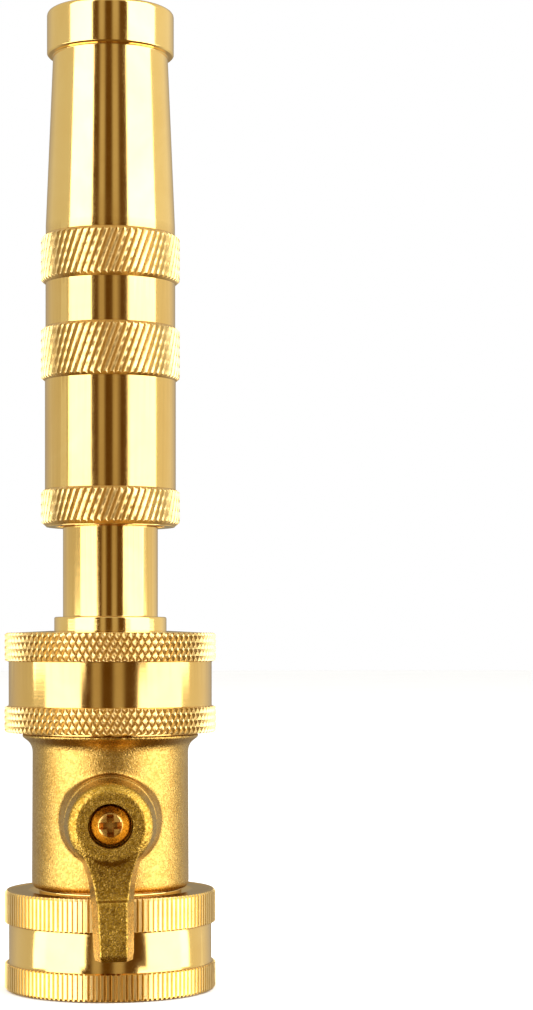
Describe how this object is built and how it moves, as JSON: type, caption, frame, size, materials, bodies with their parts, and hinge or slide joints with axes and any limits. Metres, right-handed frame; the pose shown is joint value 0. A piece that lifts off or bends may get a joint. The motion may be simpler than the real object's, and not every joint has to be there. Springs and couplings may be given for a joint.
{
  "type": "hose spray nozzle",
  "caption": "Brass twist spray nozzle on a lever ball shut-off valve, with a swivelling female garden-hose inlet.",
  "frame": {"origin": "centre of the inlet nut's mouth, in the plane of its lower face", "axes": "+Z along the water's path from the hose to the spray outlet; the valve's lever is on the -Y side; +X is where the lever's tip goes when the valve is shut"},
  "size_m": [0.0322, 0.038, 0.148],
  "materials": {
    "turned_brass": "bright turned brass, clear polished bands between knurls",
    "cast_brass": "sand-cast and blasted brass with a fine glittering grain",
    "screw_brass": "bright brass-plated screw",
    "ball_chrome": "hard chromed and polished",
    "seal_rubber": "matt black moulded rubber",
    "seat_plastic": "waxy white PTFE"
  },
  "bodies": {
    "valve": {"valve_body": "cast_brass", "tailpiece": "turned_brass", "seat_lower": "seat_plastic", "seat_upper": "seat_plastic"},
    "inlet": {"inlet_nut": "turned_brass", "inlet_washer": "seal_rubber"},
    "lever": {"lever": "cast_brass", "lever_screw": "screw_brass", "valve_stem": "turned_brass", "valve_ball": "ball_chrome", "stem_oring_inner": "seal_rubber", "stem_oring_outer": "seal_rubber"},
    "coupling_washer": {"coupling_washer": "seal_rubber"},
    "nozzle_base": {"nozzle_coupling": "turned_brass", "nozzle_stem": "turned_brass", "stem_seal_ring": "seal_rubber", "shutoff_ring": "seal_rubber"},
    "wiper_ring": {"sleeve_wiper_ring": "seal_rubber"},
    "sleeve": {"nozzle_sleeve": "turned_brass"}
  },
  "joints": [
    {"name": "inlet_swivel", "type": "hinge", "parent": "valve", "child": "inlet", "pos_m": [0, 0, 0.0134], "axis": [0, 0, 1], "continuous": true},
    {"name": "lever_turn", "type": "hinge", "parent": "valve", "child": "lever", "pos_m": [0, 0, 0.026], "axis": [0, -1, 0], "range_deg": [-1.5, 88.5]},
    {"name": "nozzle_lift", "type": "slide", "parent": "valve", "child": "coupling_washer", "axis": [0, 0, 1], "range_m": [0, 0.0094]},
    {"name": "nozzle_unscrew", "type": "hinge", "parent": "coupling_washer", "child": "nozzle_base", "pos_m": [0, 0, 0.0484], "axis": [0, 0, 1], "range_deg": [0, 1530]},
    {"name": "sleeve_travel", "type": "slide", "parent": "nozzle_base", "child": "wiper_ring", "axis": [0, 0, 1], "range_m": [-0.0096, 0]},
    {"name": "sleeve_twist", "type": "hinge", "parent": "wiper_ring", "child": "sleeve", "pos_m": [0, 0, 0.0698], "axis": [0, 0, 1], "range_deg": [-1140, 0]}
  ],
  "couplings": [
    {"joint": "nozzle_lift", "follows": "nozzle_unscrew", "m_per_rad": 0.00035153},
    {"joint": "sleeve_travel", "follows": "sleeve_twist", "m_per_rad": 0.00047746}
  ]
}
